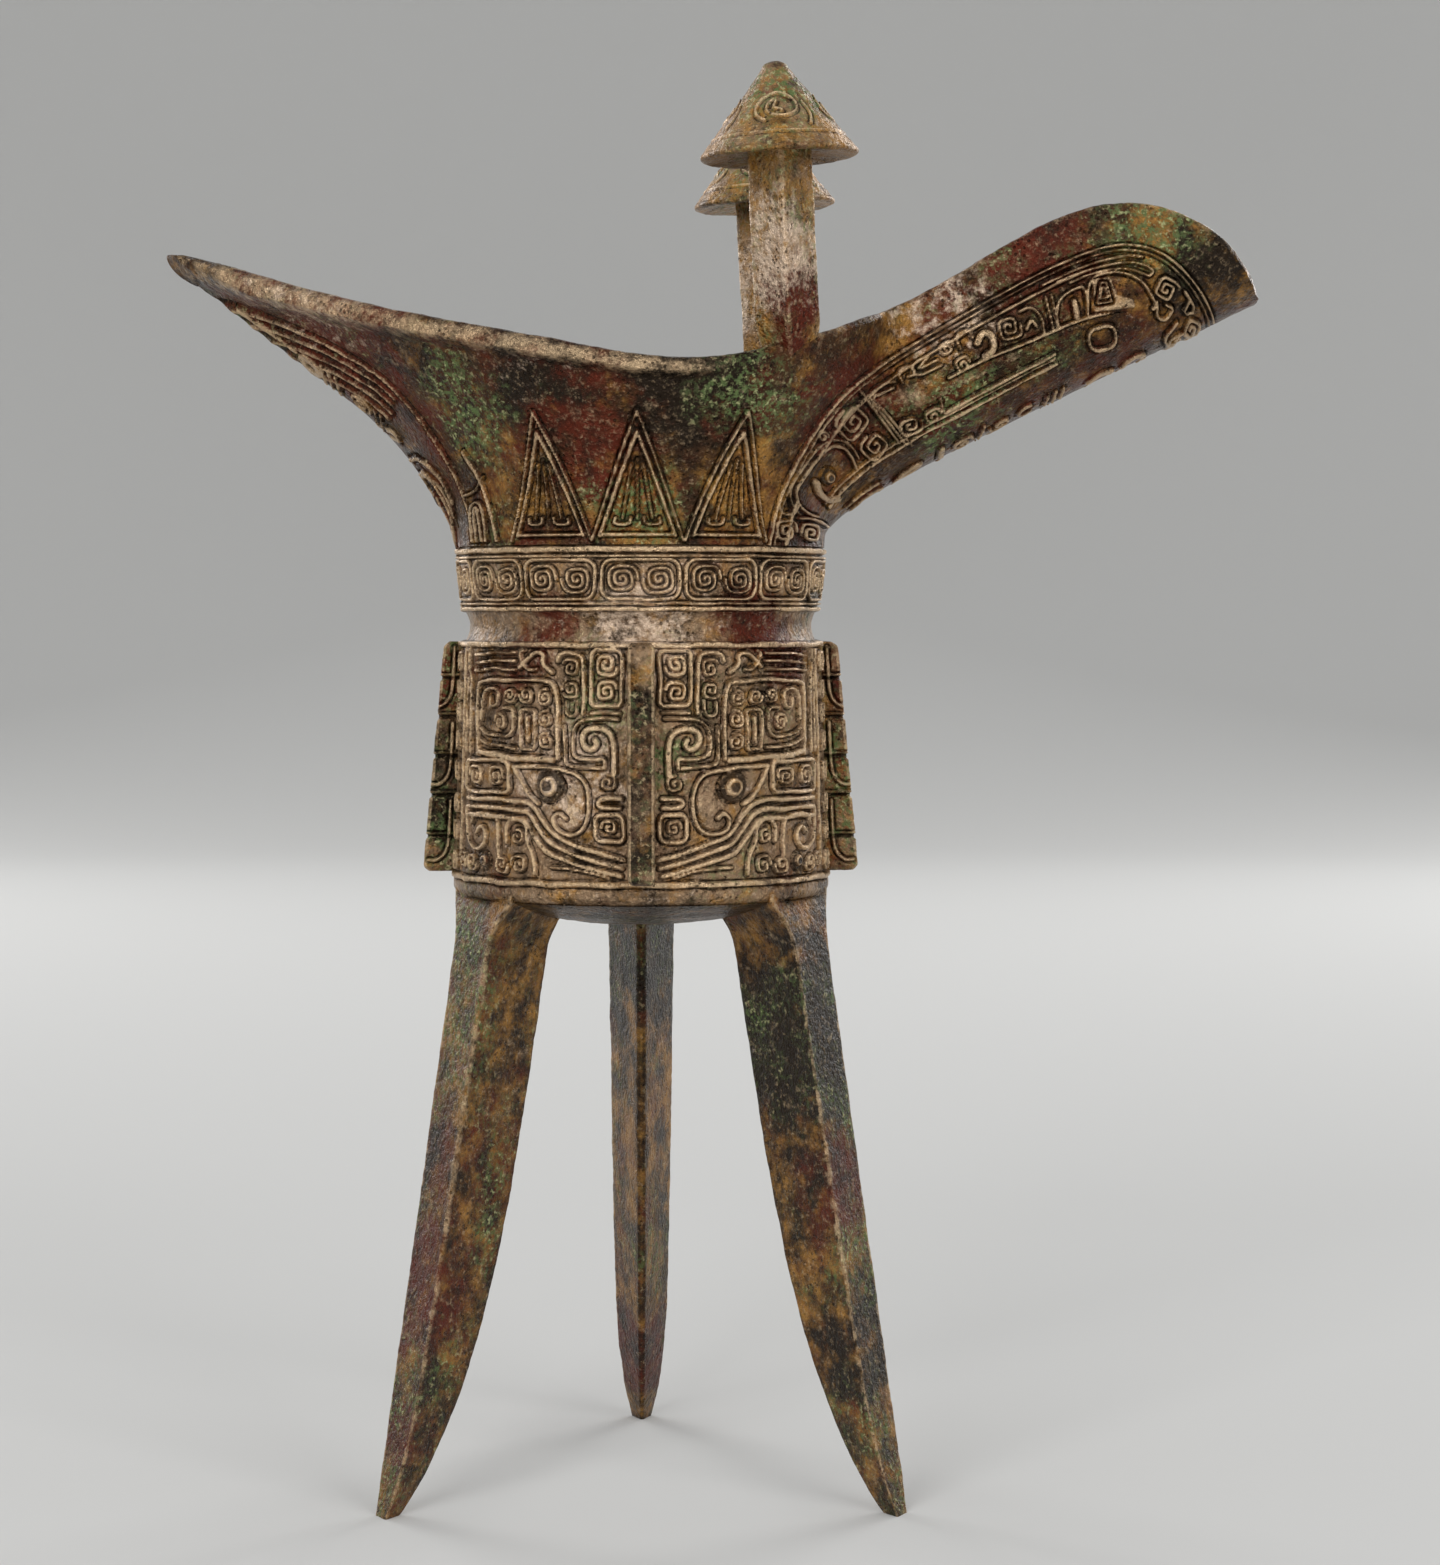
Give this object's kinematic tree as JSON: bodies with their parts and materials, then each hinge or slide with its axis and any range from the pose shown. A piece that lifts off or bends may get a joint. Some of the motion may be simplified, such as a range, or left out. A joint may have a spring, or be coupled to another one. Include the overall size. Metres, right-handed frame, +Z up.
{
  "type": "bronze jue vessel",
  "caption": "Tripod wine cup of cast bronze with a long open spout, a pointed tail, capped rim posts, a flanged drum and a strap handle, for warming and pouring wine.",
  "frame": {"origin": "on the cup's axis, at the plane the feet stand on", "axes": "+X along the spout, +Y towards the handle, +Z up"},
  "size_m": [0.1549, 0.082, 0.1995],
  "materials": {
    "bronze": "dark patina with green and red corrosion"
  },
  "bodies": {
    "root": {"belly": "bronze", "waist_collar": "bronze", "neck_band": "bronze", "mouth": "bronze", "spout": "bronze", "tail": "bronze", "leg_rear": "bronze", "leg_front_left": "bronze", "leg_front_right": "bronze", "post_front": "bronze", "post_rear": "bronze", "cap_front": "bronze", "cap_rear": "bronze", "flange_front": "bronze", "flange_spout_side": "bronze", "flange_tail_side": "bronze", "handle": "bronze", "handle_head": "bronze"}
  },
  "joints": []
}
